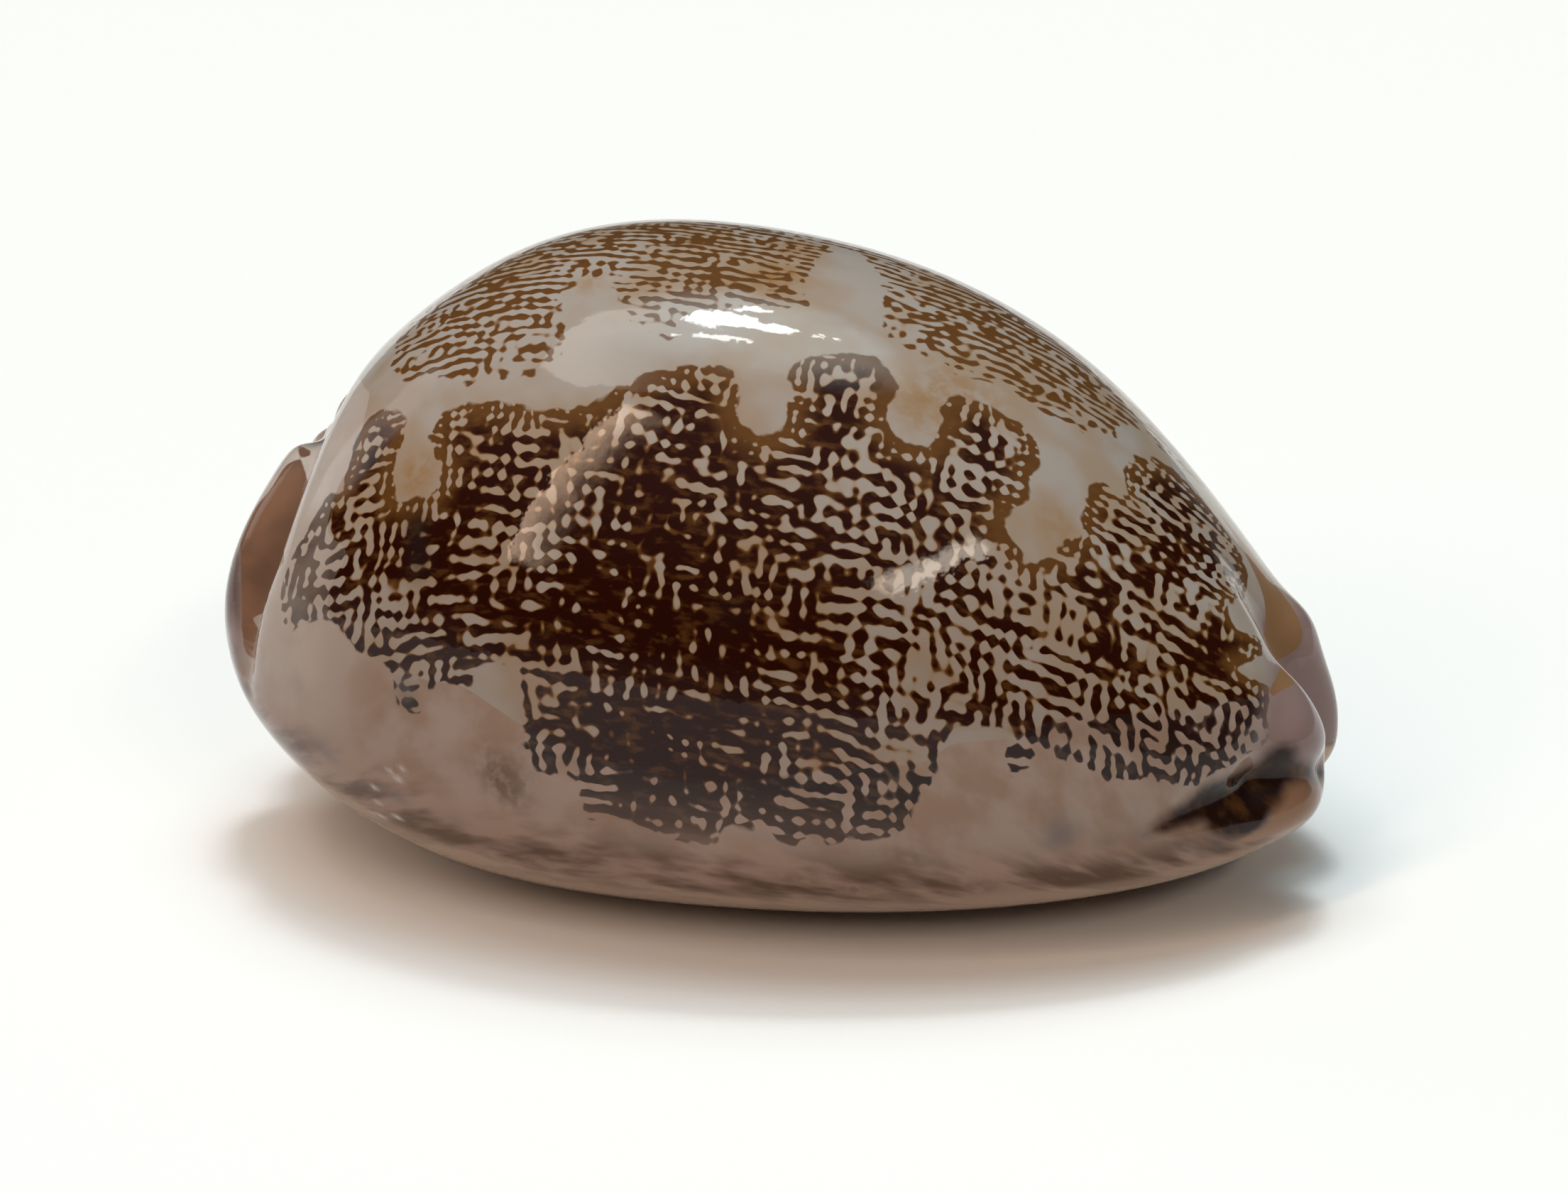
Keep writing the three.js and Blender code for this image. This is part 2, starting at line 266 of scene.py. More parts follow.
CALLUS_EDGE = (
    (520, 560), (500, 640), (475, 690), (462, 750), (488, 775), (465, 830), (465, 870), (500, 912),
    (545, 940), (600, 958), (650, 965), (690, 990), (740, 1022), (790, 1045), (830, 1065), (860, 1076),
    (900, 1080), (930, 1096), (1000, 1101), (1100, 1095), (1200, 1082), (1290, 1074), (1320, 1062),
    (1350, 1048), (1430, 1038), (1500, 1010), (1640, 1005), (1700, 990), (1787, 977),
)
PLATE = (
    (439, 636), (405, 655), (378, 692), (352, 727), (343, 749), (339, 789), (341, 840), (342, 887),
    (347, 920), (352, 927), (357, 914), (355, 870), (364, 850), (380, 828), (392, 803), (400, 785),
)
STAIN = (
    (1632, 1163), (1664, 1137), (1691, 1113), (1723, 1098), (1753, 1083), (1779, 1069), (1797, 1054),
    (1820, 1054), (1828, 1071), (1859, 1084), (1864, 1092), (1823, 1097), (1803, 1125), (1785, 1147),
    (1768, 1168), (1735, 1177), (1705, 1169), (1696, 1155), (1664, 1160), (1640, 1168),
)
LOBE = (
    (1832, 1094), (1858, 1098), (1866, 1112), (1862, 1130), (1838, 1155), (1800, 1172), (1765, 1186),
    (1740, 1186), (1772, 1168), (1790, 1150), (1790, 1125), (1806, 1106),
)

# The same on the hidden side, as (girth, round) angles in degrees
UPPER_FIELD_FAR = ((136, -12), (141, -40), (142, -70), (131, -84), (112, -90), (90, -86), (70, -90),
                   (54, -80), (45, -60), (46, -30), (49, -8))
CALLUS_FAR = ((154, 20), (153, -30), (148, -70), (132, -88), (110, -93), (88, -90), (66, -92),
              (48, -78), (40, -50), (38, -20), (41, 5), (46, 22))
PLATE_HIDDEN = ((33, 48), (33.5, 36), (32, 22), (30, 8), (28, -4), (26, -8))

# Amber tongue behind the front collar: (girth, round) angles of its middle, and its half widths in
# millimetres of the end's chart
TONGUE_LINE = ((140, -10), (147, -9), (153, -8), (158, -3), (158, 10), (157, 25), (154, 41))
TONGUE_WIDTHS = (0.3, 1.7, 2.1, 1.9, 1.6, 1.1, 0.4)

# Soft changes of the pattern's darkness: pixel x, y, radius in mm, amount
DARKER = (
    (950, 690, 5.2, 0.5), (730, 690, 3.0, 0.45), (870, 810, 4.4, 0.35), (588, 765, 2.0, 0.9),
    (1000, 950, 4.4, 0.3), (900, 1060, 3.6, 0.4), (1130, 820, 2.6, 0.3), (620, 920, 3.0, 0.3),
    (1180, 585, 2.4, 0.35), (1000, 1140, 5.0, 0.3), (830, 930, 4.0, 0.3), (1480, 900, 2.2, -0.6),
    (950, 970, 6.0, 0.25), (1000, 1040, 4.0, 0.25), (1650, 900, 4.0, 0.05), (1700, 1000, 3.0, 0.15),
    (1600, 1040, 3.0, 0.1), (1480, 830, 4.0, -0.15), (1330, 900, 4.0, -0.1), (1480, 1000, 3.0, -0.2),
    (1150, 1130, 4.0, 0.15), (640, 640, 2.0, -0.1),
)

# Soft stains in the ground: pixel x, y, radius in mm, amount
OCHRE = (
    (585, 668, 1.5, 0.9), (1490, 742, 1.7, 0.5), (1100, 385, 1.6, 1.0), (1120, 350, 1.3, 0.7),
    (1065, 395, 1.4, 0.6), (1000, 410, 1.5, 0.5), (920, 415, 1.3, 0.5), (830, 400, 1.2, 0.6),
    (1300, 575, 2.2, 0.6), (1345, 545, 2.2, 0.6), (1400, 570, 1.8, 0.4), (720, 1110, 1.5, 0.8),
    (690, 1085, 1.0, 0.5), (1658, 1190, 1.3, 0.8),
    (740, 1203, 1.8, 0.7), (820, 1208, 1.8, 0.6), (1280, 1212, 1.6, 0.6), (1120, 1240, 1.8, 0.5),
    (1200, 1252, 1.8, 0.5), (1380, 1248, 1.8, 0.5), (1470, 1238, 1.6, 0.4), (935, 1215, 1.4, 0.4),
)
GREYED = (
    (1493, 1178, 1.4, 0.9), (460, 1060, 1.1, 0.6), (570, 970, 0.9, 0.6), (560, 1122, 1.1, 0.6),
    (1560, 1186, 1.0, 0.5), (1610, 1172, 0.9, 0.5), (640, 1155, 1.2, 0.4), (420, 965, 1.0, 0.3),
)
# Dark slate patches: pixel x, y, radius in mm, amount
DARK_PATCHES = ((585, 750, 1.0, 0.75), (590, 795, 1.0, 0.7), (1030, 860, 1.2, 0.3))
# Painted glints: small pale spots of reflected light on the margin, pixel x, y, radius in mm, amount
PAINTED_GLINTS = (
    (528, 1108, 0.35, 1.0), (548, 1085, 0.3, 0.8), (560, 1097, 0.35, 1.0), (567, 1082, 0.3, 0.8),
    (533, 1130, 0.35, 0.9), (538, 1149, 0.4, 1.2), (560, 1151, 0.4, 1.2), (522, 1150, 0.3, 0.6),
)

# Painted shade in the hidden crevice at the spire end: girth, round, radius in mm, amount
CREVICE_SHADE = ((31.5, 5, 1.5, 1.0), (30, -8, 1.2, 0.9), (33.5, 14, 1.2, 0.8))

# Light of the room: its dim grey, what comes from overhead, and a pale skirt at the horizon. Each is
# a heading, the two cosines to it where it is at nothing and at full, its strength and its tint.
LIGHT_STRENGTH = 0.4
ROOM_GREY = 0.07
OVERHEAD = ((0, -0.1, 1), 0.35, 1.0, 0.7, (0.86, 0.96, 1.0))
SKIRT = ((0, 0, 1), 0.14, 0.0, 0.5, (1.0, 1.0, 1.0))

# Noises that bend the panels' and the gates' edges: scale, detail, and how far in cosines
PANEL_WOBBLE = (7.0, 3.0, 0.045)
GATE_WOBBLE = (9.0, 3.0, 0.10)

# Soft panels of the studio: heading, angles to its edge and its core, strength, tint, and gates.
# A gate is a direction and the two cosines to it where the panel is at nothing and at full.
PANELS = (
    ((-0.09, 0.22, 0.97), 2.0, 1.0, 62.0, (0.97, 1.0, 1.0), ()),
    ((-0.03, 0.35, 0.93), 1.7, 0.9, 62.0, (0.97, 1.0, 1.0), ()),
    ((0.03, 0.34, 0.94), 1.8, 1.0, 62.0, (0.97, 1.0, 1.0), ()),
    ((0.0, 0.27, 0.96), 22, 3, 12.0, (0.70, 0.94, 1.0), ()),
    ((-0.22, 0.05, 0.97), 18, 17, 12.0, (1.0, 0.93, 0.87), (((1, 0, 0), -0.10, -0.42),)),
    ((-0.40, -0.61, 0.68), 24, 21, 54.0, (1.0, 0.70, 0.49),
     (((0.788, -0.616, 0), -0.006, 0.006), ((0.788, -0.616, 0), 0.17, -0.05))),
    ((0.49, -0.62, 0.60), 17, 12, 44.0, (1.0, 0.86, 0.72),
     (((-0.703, 0.121, 0.70), -0.045, -0.03), ((-0.703, 0.121, 0.70), 0.045, 0.0))),
    ((-0.90, 0.28, 0.36), 14, 6, 3.5, (0.90, 0.96, 1.0), ()),
)


def through(values, t):
    """Smooth curve through evenly spaced values: the cubic whose slope at each value is half the
    step between its neighbours, at t from 0 to 1."""
    v = np.asarray(values, float)
    ends = np.concatenate([[2 * v[0] - v[1]], v, [2 * v[-1] - v[-2]]])
    place = np.clip(t, 0, 1) * (len(v) - 1)
    i = np.clip(np.floor(place).astype(int), 0, len(v) - 2)
    f = place - i
    a, b, c, d = ends[i], ends[i + 1], ends[i + 2], ends[i + 3]
    return 0.5 * (2 * b + (c - a) * f + (2 * a - 5 * b + 4 * c - d) * f**2 + (3 * b - a - 3 * c + d) * f**3)


def ease(low, high, x):
    """0 at low, 1 at high, and 3f2 - 2f3 of the way between."""
    f = np.clip((x - low) / (high - low), 0, 1)
    return f * f * (3 - 2 * f)


def soft_floor(x):
    """log(1 + exp x): close to x well above 0, and never below 0."""
    return np.logaddexp(0, x)


def section_at(theta):
    """Sizes of the cross sections at girth angles theta: x is -half the length times cos theta, and
    every reach is its curve times sin theta to the bluntness."""
    t = theta / math.pi
    swell = np.sin(theta) ** END_BLUNTNESS
    near = swell * through(LIP_SIDE_REACH, t)
    far = swell * through(INNER_SIDE_REACH, t)
    room = 1 - np.exp(-np.minimum(near, far) / SMALL_SECTION)
    x = -HALF * np.cos(theta)
    return SimpleNamespace(
        x=x, room=room, near=near, far=far,
        axis=through(AXIS_HEIGHT, t),
        rise=swell * through(BACK_RISE, t),
        drop=swell * through(BASE_DROP, t),
        slot=room * through(SLOT_LINE, t),
        slot_half=room * through(SLOT_HALF_WIDTH, t),
        chamber=ease(*CHAMBER_SPIRE_END, x) * ease(*CHAMBER_FRONT_END, x),
    )


def outer_points(section, phi):
    """y and z of the outside at round angle phi: a superellipse, about the middle above and about
    the slot below, y = reach * |sin phi|^(2/n) and z = rise * |cos phi|^(2/n)."""
    up, out = np.cos(phi), np.sin(phi)
    base_power = np.where(out >= 0, LIP_SIDE_BASE_POWER, INNER_SIDE_BASE_POWER)
    power = 2 / np.where(up >= 0, BACK_POWER, base_power)
    middle = np.where(up >= 0, 0, section.slot)
    reach = np.where(out >= 0, -section.near - middle, section.far - middle)
    rise = np.where(up >= 0, section.rise, -section.drop)
    return middle + reach * np.abs(out) ** power, section.axis + rise * np.abs(up) ** power


def base_height(section, y):
    """Height of the base at y: axis - drop * (1 - r^n)^(1/n), with r the share of the reach."""
    outer = y < section.slot
    reach = np.where(outer, section.near + section.slot, section.far - section.slot)
    power = np.where(outer, LIP_SIDE_BASE_POWER, INNER_SIDE_BASE_POWER)
    share = np.clip(np.abs(y - section.slot) / reach, 0, 1)
    return section.axis - section.drop * (1 - share**power) ** (1 / power)


def inward_rows(section, side):
    """Rows from the base's edge into the chamber, for the outer lip's side (-1) or the inner's (1):
    a straight run over the base, a quarter circle over the lip, a straight throat, and a chamber
    wall y = slot + side * width * sin(pi f)^p, z = depth * (1 - cos(pi f)) / 2. The zone is -1 to 0
    on the base, 0 to 1 on the lip, 1 to 2 in the throat and 3 to 4 in the chamber."""
    roll = section.room * (OUTER_LIP_ROLL if side < 0 else INNER_LIP_ROLL)
    start, _ = outer_points(section, -side * OUTER_ARC)
    edge = section.slot + side * (section.slot_half + roll)
    lip_base = base_height(section, edge)
    throat_top = lip_base + roll + THROAT_DEPTH * section.room
    canal = CANAL_DEPTH * section.room
    full = soft_floor(section.axis + section.rise - BACK_WALL - throat_top)
    depth = canal + (full - canal) * section.chamber
    reach = section.near if side < 0 else section.far
    free = soft_floor(reach - SIDE_WALL - side * section.slot - section.slot_half)

    def shares(count):
        return np.arange(1, count + 1)[None, :] / count

    f = shares(BASE_ROWS)
    base_y = start + (edge - start) * f
    rows = [(base_y, base_height(section, base_y), f - 1)]
    f = shares(LIP_ROWS)
    turn = f * math.pi / 2
    lip_y = section.slot + side * (section.slot_half + roll * (1 - np.sin(turn)))
    rows.append((lip_y, lip_base + roll * (1 - np.cos(turn)), f))
    f = shares(THROAT_ROWS)
    throat_y = section.slot + side * section.slot_half + 0 * f
    rows.append((throat_y, lip_base + roll + THROAT_DEPTH * section.room * f, 1 + f))
    f = shares(CHAMBER_ROWS)
    bottom_power, growth = CHAMBER_SWELL[side]
    swell = free * section.chamber * np.abs(np.sin(np.pi * f)) ** (bottom_power + growth * f)
    chamber_y = section.slot + side * (section.slot_half * (1 - f) + swell)
    rows.append((chamber_y, throat_top + depth * (1 - np.cos(np.pi * f)) / 2, 3 + f))
    shape = np.zeros_like(section.x)
    return [np.concatenate([part[k] + shape for part in rows], axis=1) for k in range(3)]


def notched(places, slot):
    """Draws what lies near the slot's line at an end inwards: x loses depth * exp(-(away/width)^2),
    eased in from the notch's start."""
    for end, start, depth, half_width in NOTCHES:
        away = (places[..., 1] - slot) / half_width
        pull = depth * np.exp(-(away**2)) * ease(start, HALF, end * places[..., 0])
        places[..., 0] -= end * pull
    return places


def line_on_shell(corners):
    """Points of the smooth line on the outside through (girth, round) corners, in degrees."""
    t = np.linspace(0, 1, LINE_STEPS)
    theta = np.radians(through([corner[0] for corner in corners], t))
    section = section_at(theta)
    y, z = outer_points(section, np.radians(through([corner[1] for corner in corners], t)))
    return t, np.stack([section.x, y, z], axis=-1)


def near_line(places, corners):
    """Distance from each place to the line, and how far along the line its nearest point is."""
    t, line = line_on_shell(corners)
    least = np.full(places.shape[:-1], np.inf)
    at = np.zeros(places.shape[:-1])
    for share, point in zip(t, line):
        away = ((places - point) ** 2).sum(axis=-1)
        closer = away < least
        least[closer] = away[closer]
        at[closer] = share
    return np.sqrt(least), at


def relief_height(places):
    """Sum of the grooves, ridges and knobs: each is its height times exp(-(distance/width)^2)."""
    total = np.zeros(places.shape[:-1])
    for corners, heights, widths in RELIEF:
        away, at = near_line(places, corners)
        total += through(heights, at) * np.exp(-((away / through(widths, at)) ** 2))
    for girth, turn, height, width in KNOBS:
        _, centre = line_on_shell(((girth, turn), (girth, turn)))
        away = ((places - centre[0]) ** 2).sum(axis=-1)
        total += height * np.exp(-away / width**2)
    return total


def tooth_wave(x):
    """0 in each gap and 1 on each tooth: half of one minus the cosine of the tooth count."""
    return 0.5 - 0.5 * np.cos(2 * np.pi * TEETH * (x - TEETH_FROM) / (TEETH_TO - TEETH_FROM))


def tooth_presence(x, zone):
    """How far teeth are grown: faded at both ends, on the base's edge and down in the throat."""
    along = ease(TEETH_FROM - 1, TEETH_FROM + TEETH_FADE, x) * ease(TEETH_TO + 1, TEETH_TO - TEETH_FADE, x)
    return along * ease(*TEETH_BASE_ZONES, zone) * ease(*TEETH_THROAT_ZONES, zone)


def outward(places):
    """Outward unit directions of a grid whose rows close on themselves."""
    along = np.gradient(places, axis=0)
    around = np.roll(places, -1, axis=1) - np.roll(places, 1, axis=1)
    normal = np.cross(around, along)
    return normal / (np.linalg.norm(normal, axis=-1, keepdims=True) + 1e-12)


def row_angles():
    """Round angles of the outside's rows, closer together on the side that the camera sees."""
    far = np.linspace(-OUTER_ARC, NEAR_ROWS_FROM, FAR_ROWS + 1)[:-1]
    near = np.linspace(NEAR_ROWS_FROM, OUTER_ARC, NEAR_ROWS)
    return np.concatenate([far, near])[None, :]


def shell_skin(ring_count):
    """The whole skin as a grid of rings and rows, with its zone, side and chart angles. Ring angles
    are pi * (u + a sin(2 pi u) / (2 pi)), where a is the crowding."""
    u = np.arange(1, ring_count + 1) / (ring_count + 1)
    theta = (np.pi * (u + RING_CROWDING * np.sin(2 * np.pi * u) / (2 * np.pi)))[:, None]
    section = section_at(theta)
    phi = row_angles()
    arc_y, arc_z = outer_points(section, phi)
    arc_zone = np.full_like(arc_y, -2.0)
    inner = [part[:, ::-1] for part in inward_rows(section, 1)]
    outer = [part[:, :-1] for part in inward_rows(section, -1)]
    y = np.concatenate([inner[0], arc_y, outer[0]], axis=1)
    z = np.concatenate([inner[1], arc_z, outer[1]], axis=1)
    zone = np.concatenate([inner[2], arc_zone, outer[2]], axis=1)
    base = OUTER_ARC + BASE_ROUND * (1 + np.clip(zone, -1, 0))
    inner_count, outer_count = inner[0].shape[1], outer[0].shape[1]
    turns = (-base[:, :inner_count], phi + 0 * theta, base[:, -outer_count:])
    turn = np.concatenate(turns, axis=1)
    places = notched(np.stack([section.x + 0 * y, y, z], axis=-1), section.slot)
    height = np.where(zone <= 0, relief_height(places), 0)
    places += outward(places) * height[..., None]
    teeth = TOOTH_HEIGHT * tooth_wave(places[..., 0]) * tooth_presence(places[..., 0], zone)
    places += outward(places) * teeth[..., None]
    poles = []
    for angle in (0.0, math.pi):
        end = section_at(np.array(angle))
        poles.append(notched(np.array([[end.x, 0.0, end.axis]]), 0.0)[0])
    for points in (places, *poles):
        points[..., 2] = np.maximum(points[..., 2] - REST_FLAT, 0)
    return SimpleNamespace(places=places, poles=poles, zone=zone, theta=theta + 0 * y, turn=turn)


def centre_on_frame(skin):
    """Moves the skin sideways so that its box is centred where the solid's box is."""
    low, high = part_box("shell")
    points = skin.places.reshape(-1, 3)
    for axis in (0, 1):
        middle = (low[axis] + high[axis]) / 2 / MM
        shift = middle - (points[:, axis].min() + points[:, axis].max()) / 2
        skin.places[..., axis] += shift
        for pole in skin.poles:
            pole[axis] += shift


def camera_place(view):
    """The camera's place, and its right, up and back directions, in millimetres."""
    turn, rise = view.azimuth, view.elevation
    back = np.array([math.sin(turn) * math.cos(rise), -math.cos(turn) * math.cos(rise), math.sin(rise)])
    right = np.array([math.cos(turn), math.sin(turn), 0.0])
    up = np.cross(back, right)
    return np.array(view.aim) / MM + back * view.distance / MM, right, up, back


def photo_pixels(places, view):
    """Where places fall in the photograph's frame, by the pinhole rule."""
    eye, right, up, back = camera_place(view)
    away = places - eye
    depth = -(away @ back)
    focus = view.lens / SENSOR_MM * PHOTO_WIDTH
    return PHOTO_WIDTH / 2 + focus * (away @ right) / depth, PHOTO_HEIGHT / 2 - focus * (away @ up) / depth


def chart_of(theta, turn):
    """Flat chart of the outside in millimetres: girth angle along, round angle across."""
    return np.stack([theta * GIRTH_MM, turn * ROUND_MM], axis=-1)


def end_chart(end):
    """Flat chart of one end in millimetres, for outlines round its pole: the girth angle from the
    pole is the radius, and the round angle the direction. The end is 0 at the spire."""
    def chart(theta, turn):
        radius = GIRTH_MM * np.abs(theta - end * np.pi)
        return np.stack([radius * np.sin(turn), radius * np.cos(turn)], axis=-1)
    return chart


class Tracer:
    """Turns pixels of the photograph into chart points: of the nearest visible points, those no more
    than the traced depth behind the foremost, weighed by their nearness."""

    def __init__(self, skin, view, chart):
        eye, _, _, back = camera_place(view)
        to_eye = eye - skin.places
        to_eye /= np.linalg.norm(to_eye, axis=-1, keepdims=True)
        seen = ((outward(skin.places) * to_eye).sum(axis=-1) > FACING) & (skin.zone <= 0)
        x, y = photo_pixels(skin.places[seen], view)
        self.pixels = np.stack([x, y], axis=-1)
        self.chart = chart(skin.theta[seen], skin.turn[seen])
        self.depth = (eye - skin.places[seen]) @ back

    def point(self, pixel):
        away = ((self.pixels - np.array(pixel, float)) ** 2).sum(axis=-1)
        nearest = np.argpartition(away, TRACED_POINTS)[:TRACED_POINTS]
        weight = 1 / (away[nearest] + 1) ** 2
        weight[self.depth[nearest] > self.depth[nearest].min() + TRACED_DEPTH] = 0
        return (self.chart[nearest] * weight[:, None]).sum(axis=0) / weight.sum()

    def outline(self, pixels, hidden=()):
        return np.array([self.point(pixel) for pixel in pixels] + list(hidden))


def rounded(outline, steps=4):
    """A closed outline drawn as a smooth curve through its points."""
    before, after, next_after = (np.roll(outline, k, axis=0) for k in (1, -1, -2))
    parts = []
    for f in np.arange(steps) / steps:
        slope, bend = after - before, 2 * before - 5 * outline + 4 * after - next_after
        twist = 3 * outline - before - 3 * after + next_after
        parts.append(0.5 * (2 * outline + slope * f + bend * f**2 + twist * f**3))
    return np.stack(parts, axis=1).reshape(-1, 2)


def inside_distance(chart, outline):
    """Distance to a closed outline, above 0 inside it: the least distance to its edges, signed by
    the even-odd count of edges crossed."""
    least = np.full(chart.shape[:-1], np.inf)
    crossed = np.zeros(chart.shape[:-1], bool)
    x, y = chart[..., 0], chart[..., 1]
    for (x0, y0), (x1, y1) in zip(outline, np.roll(outline, -1, axis=0)):
        dx, dy = x1 - x0, y1 - y0
        share = np.clip(((x - x0) * dx + (y - y0) * dy) / (dx * dx + dy * dy + 1e-9), 0, 1)
        away = (x - x0 - share * dx) ** 2 + (y - y0 - share * dy) ** 2
        np.minimum(least, away, out=least)
        if y0 != y1:
            crossed ^= ((y0 > y) != (y1 > y)) & (x < x0 + (y - y0) * dx / dy)
    return np.where(crossed, 1, -1) * np.sqrt(least)


def surface_lengths(skin):
    """Arc lengths over the skin in millimetres: along the middle row of the side that the camera
    sees, and round each ring from that row."""
    places = skin.places
    middle = np.argmin(np.abs(skin.turn[0] - MIDDLE_ROW_ROUND))
    steps = np.linalg.norm(np.diff(places[:, middle], axis=0), axis=-1)
    along = np.concatenate([[0], np.cumsum(steps)])[:, None]
    around = np.linalg.norm(np.diff(places, axis=1), axis=-1)
    around = np.concatenate([np.zeros((places.shape[0], 1)), np.cumsum(around, axis=1)], axis=1)
    return along + 0 * around, around - around[:, middle:middle + 1]


def soft_spots(chart, spots):
    """Sum of round spots, each its amount times exp(-(distance/radius)^2)."""
    total = np.zeros(chart.shape[:-1])
    for centre, radius, amount in spots:
        away = ((chart - centre) ** 2).sum(axis=-1)
        total += amount * np.exp(-away / radius**2)
    return total


def strip(skin, flat, line, half_widths):
    """How far inside a strip each place is, above 0 inside it: the strip is all circles of its half
    width along its smooth middle line, in an end's flat chart."""
    t = np.linspace(0, 1, STRIP_STEPS)
    girths, turns = zip(*line)
    middle = flat(np.radians(through(girths, t)), np.radians(through(turns, t)))
    chart = flat(skin.theta, skin.turn)
    inside = np.full(chart.shape[:-1], -np.inf)
    for point, half_width in zip(middle, through(half_widths, t)):
        away = np.sqrt(((chart - point) ** 2).sum(axis=-1))
        np.maximum(inside, half_width - away, out=inside)
    return inside


def skin_marks(skin, view):
    """Every mark that the enamel's material reads, as one number for each point of the skin."""
    tracer = Tracer(skin, view, chart_of)
    chart = chart_of(skin.theta, skin.turn)
    lower = inside_distance(chart, rounded(tracer.outline(LOWER_FIELD)))
    far = chart_of(*np.radians(UPPER_FIELD_FAR).T)
    upper = inside_distance(chart, rounded(tracer.outline(UPPER_FIELD_EDGE, far)))
    far = chart_of(*np.radians(CALLUS_FAR).T)
    callus = inside_distance(chart, rounded(tracer.outline(CALLUS_EDGE, far)))
    along, around = surface_lengths(skin)
    marks = {
        "lower_field": lower,
        "upper_field": upper,
        "callus": -callus,
        "girth": np.degrees(skin.theta),
        "turn": np.degrees(skin.turn),
        "zone": skin.zone,
        "along": along,
        "around": around,
        "tooth": tooth_wave(skin.places[..., 0]) * tooth_presence(skin.places[..., 0], skin.zone),
    }
    # Painted shade in the crevice at the spire end, laid with the dark slate patches
    crevice = [
        (chart_of(*np.radians((girth, turn))), radius, amount)
        for girth, turn, radius, amount in CREVICE_SHADE
    ]
    for name, spots, hidden in (
        ("darker", DARKER, []), ("ochre", OCHRE, []), ("greyed", GREYED, []), ("dark_patch_and_crevice_shade", DARK_PATCHES, crevice),
        ("painted_glints", PAINTED_GLINTS, []),
    ):
        traced = [(tracer.point((x, y)), radius, amount) for x, y, radius, amount in spots]
        marks[name] = soft_spots(chart, traced + hidden)
    for name, end, edge, hidden in (
        ("stain", 1, STAIN, ()), ("lobe", 1, LOBE, ()), ("plate", 0, PLATE, PLATE_HIDDEN),
    ):
        flat = end_chart(end)
        far = [flat(*np.radians(angles)) for angles in hidden]
        outline = rounded(Tracer(skin, view, flat).outline(edge, far))
        marks[name] = inside_distance(flat(skin.theta, skin.turn), outline)
    marks["tongue"] = strip(skin, end_chart(1), TONGUE_LINE, TONGUE_WIDTHS)
    return marks


def grid_faces(rings, rows):
    """Quads between neighbouring rings, and a fan of triangles to the pole at each end."""
    here = np.arange(rings * rows).reshape(rings, rows)
    beside = np.roll(here, -1, axis=1)
    quads = np.stack([here[:-1], beside[:-1], beside[1:], here[1:]], axis=-1).reshape(-1, 4)
    spire = np.stack([np.full(rows, rings * rows), beside[0], here[0]], axis=-1)
    front = np.stack([np.full(rows, rings * rows + 1), here[-1], beside[-1]], axis=-1)
    return quads, np.concatenate([spire, front])


def skin_mesh(skin, marks):
    """The skin as a mesh in metres, with smooth faces and its marks as point attributes."""
    rings, rows = skin.zone.shape
    points = np.concatenate([skin.places.reshape(-1, 3), np.array(skin.poles)]) * MM
    quads, fans = grid_faces(rings, rows)
    mesh = bpy.data.meshes.new("shell_skin")
    mesh.from_pydata(points.tolist(), [], quads.tolist() + fans.tolist())
    mesh.shade_smooth()
    for name, values in marks.items():
        ends = [values[0].mean(), values[-1].mean()]
        numbers = np.concatenate([values.reshape(-1), ends]).astype(np.float32)
        mesh.attributes.new(name, "FLOAT", "POINT").data.foreach_set("value", numbers)
    return mesh


